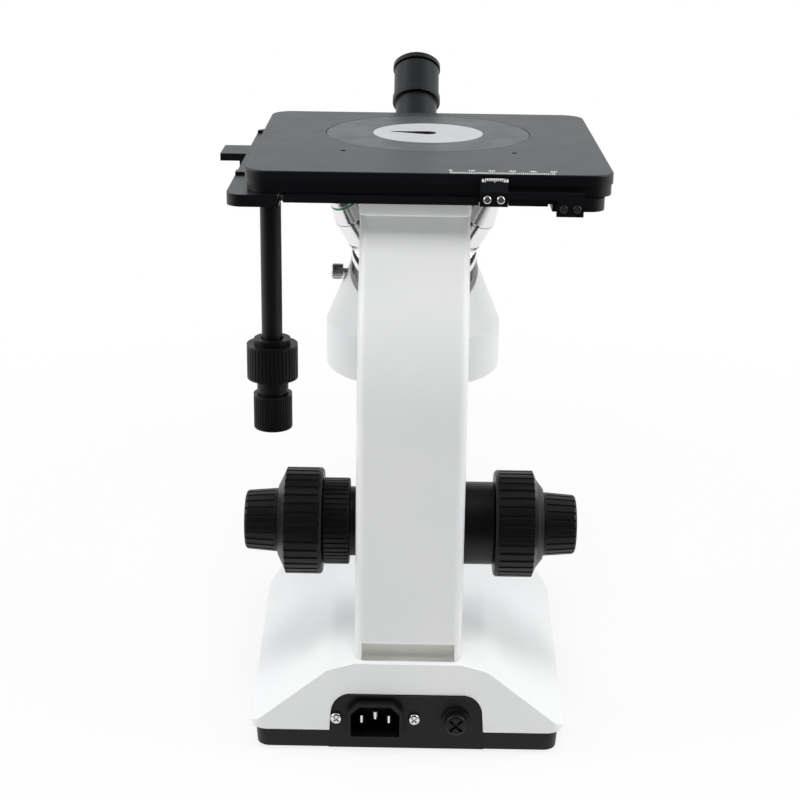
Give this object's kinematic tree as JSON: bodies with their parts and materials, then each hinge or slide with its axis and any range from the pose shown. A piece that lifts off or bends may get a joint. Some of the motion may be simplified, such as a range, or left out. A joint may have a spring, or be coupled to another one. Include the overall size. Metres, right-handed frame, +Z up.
{
  "type": "inverted microscope",
  "caption": "Inverted metallurgical microscope with white column and base, coaxial focus knobs, black mechanical stage with teardrop insert, tilted objective turret and slanted viewing tube.",
  "frame": {"origin": "On the plane the rubber feet rest on, under the middle of the base and in the column's middle plane", "axes": "+Z up; -Y is the rear with the column and the power inlet; +Y is the user's side with the viewing tube; +X is to the right seen from the rear"},
  "size_m": [0.203, 0.3025, 0.3225],
  "materials": {
    "white_paint": "satin enamel",
    "black_plastic": "moulded satin",
    "rubber": "matt",
    "black_anodised": "black anodised",
    "ring_grey": "dark anodised, turned",
    "nickel": "nickel plated",
    "steel": "ground",
    "chrome": "satin chrome",
    "glass": "polished",
    "mirror": "front silvered",
    "ceramic": "unglazed ceramic",
    "circuit_board": "satin"
  },
  "bodies": {
    "frame": {"base_housing": "white_paint", "base_pan": "black_plastic", "rubber_feet": "rubber", "power_inlet": "black_plastic", "inlet_pins": "nickel", "inlet_screws": "nickel", "fuse_holder": "black_plastic", "power_board": "circuit_board", "power_switch": "black_plastic", "dimmer_pot": "steel", "column": "white_paint", "lamp_socket": "ceramic", "halogen_lamp": "glass", "lens_barrel": "black_anodised", "collector_lens": "glass", "fold_mirrors": "mirror", "illuminator_tube": "black_anodised", "beam_splitter": "glass", "head_housing": "white_paint", "head_lower_cover": "white_paint", "eyepiece_tube": "black_anodised", "focus_guide": "steel", "focus_bush_left": "black_plastic", "focus_collar_right": "black_plastic", "stage_centre_plate": "black_anodised", "y_rack": "steel"},
    "fuse_cap": {"fuse_cap": "black_plastic"},
    "rocker": {"power_rocker": "black_plastic"},
    "dial": {"brightness_dial": "black_plastic"},
    "clamp_screw": {"head_clamp_screw": "nickel"},
    "eyepiece": {"eyepiece": "black_anodised", "eyepiece_lenses": "glass"},
    "focus_carriage": {"focus_slide": "steel", "nosepiece_bracket": "black_anodised", "turret_screw": "nickel"},
    "coarse": {"coarse_shaft": "steel", "coarse_knob_left": "black_plastic", "coarse_knob_right": "black_plastic"},
    "fine": {"fine_shaft": "steel", "fine_knob_left": "black_plastic", "fine_knob_right": "black_plastic"},
    "tension": {"tension_ring": "black_plastic"},
    "nosepiece": {"nosepiece_turret": "chrome", "objective_4x": "chrome", "objective_10x": "chrome", "objective_20x": "chrome", "objective_40x": "chrome"},
    "stage_y": {"stage_y_slide": "black_anodised", "vernier_bracket": "black_anodised", "bracket_screws": "nickel", "drive_tube": "black_anodised"},
    "stage_x": {"stage_x_frame": "black_anodised", "stage_top_plate": "black_anodised", "x_rack": "steel"},
    "ring": {"stage_ring": "ring_grey"},
    "insert": {"specimen_insert": "steel"},
    "y_drive": {"y_drive_shaft": "steel", "y_knob": "black_plastic"},
    "x_drive": {"x_drive_shaft": "steel", "x_knob": "black_plastic"}
  },
  "joints": [
    {"name": "focus_travel", "type": "slide", "parent": "frame", "child": "focus_carriage", "axis": [0, 0, 1], "range_m": [-0.006, 0.003]},
    {"name": "coarse_turn", "type": "hinge", "parent": "frame", "child": "coarse", "pos_m": [0, -0.055, 0.111], "axis": [1, 0, 0], "range_deg": [-43.5, 22]},
    {"name": "fine_turn", "type": "hinge", "parent": "coarse", "child": "fine", "pos_m": [0, -0.055, 0.111], "axis": [1, 0, 0], "continuous": true},
    {"name": "tension_turn", "type": "hinge", "parent": "frame", "child": "tension", "pos_m": [0, -0.055, 0.111], "axis": [1, 0, 0], "range_deg": [-60, 60]},
    {"name": "nosepiece_turn", "type": "hinge", "parent": "focus_carriage", "child": "nosepiece", "pos_m": [0, 0.054, 0.193], "axis": [0, -0.4226, 0.9063], "continuous": true},
    {"name": "stage_y_travel", "type": "slide", "parent": "frame", "child": "stage_y", "axis": [0, 1, 0], "range_m": [-0.0075, 0.0075]},
    {"name": "stage_x_travel", "type": "slide", "parent": "stage_y", "child": "stage_x", "axis": [1, 0, 0], "range_m": [-0.014, 0.001]},
    {"name": "y_knob_turn", "type": "hinge", "parent": "stage_y", "child": "y_drive", "pos_m": [-0.0715, -0.0435, 0.19], "axis": [0, 0, 1], "range_deg": [-72, 72]},
    {"name": "x_knob_turn", "type": "hinge", "parent": "stage_y", "child": "x_drive", "pos_m": [-0.0715, -0.0435, 0.19], "axis": [0, 0, 1], "range_deg": [-12, 167.3]},
    {"name": "ring_turn", "type": "hinge", "parent": "stage_x", "child": "ring", "pos_m": [0.0065, 0.054, 0.2947], "axis": [0, 0, 1], "continuous": true},
    {"name": "insert_lift", "type": "slide", "parent": "ring", "child": "insert", "axis": [0, 0, 1], "range_m": [0, 0.02]},
    {"name": "eyepiece_pull", "type": "slide", "parent": "frame", "child": "eyepiece", "axis": [0, 0.7071, 0.7071], "range_m": [0, 0.025]},
    {"name": "clamp_turn", "type": "hinge", "parent": "frame", "child": "clamp_screw", "pos_m": [-0.043, 0.05, 0.217], "axis": [1, 0, 0], "continuous": true},
    {"name": "fuse_cap_turn", "type": "hinge", "parent": "frame", "child": "fuse_cap", "pos_m": [0.025, -0.0975, 0.019], "axis": [0, -1, 0], "range_deg": [-90, 0]},
    {"name": "rocker_tilt", "type": "hinge", "parent": "frame", "child": "rocker", "pos_m": [-0.03, 0.098, 0.0245], "axis": [1, 0, 0], "range_deg": [-9, 9]},
    {"name": "dial_turn", "type": "hinge", "parent": "frame", "child": "dial", "pos_m": [0.03, 0.1, 0.0245], "axis": [0, 1, 0], "range_deg": [0, 270]}
  ],
  "couplings": [
    {"joint": "coarse_turn", "follows": "focus_travel", "rad_per_m": 125},
    {"joint": "y_knob_turn", "follows": "stage_y_travel", "rad_per_m": -166.67},
    {"joint": "x_knob_turn", "follows": "stage_x_travel", "rad_per_m": -208.33}
  ]
}
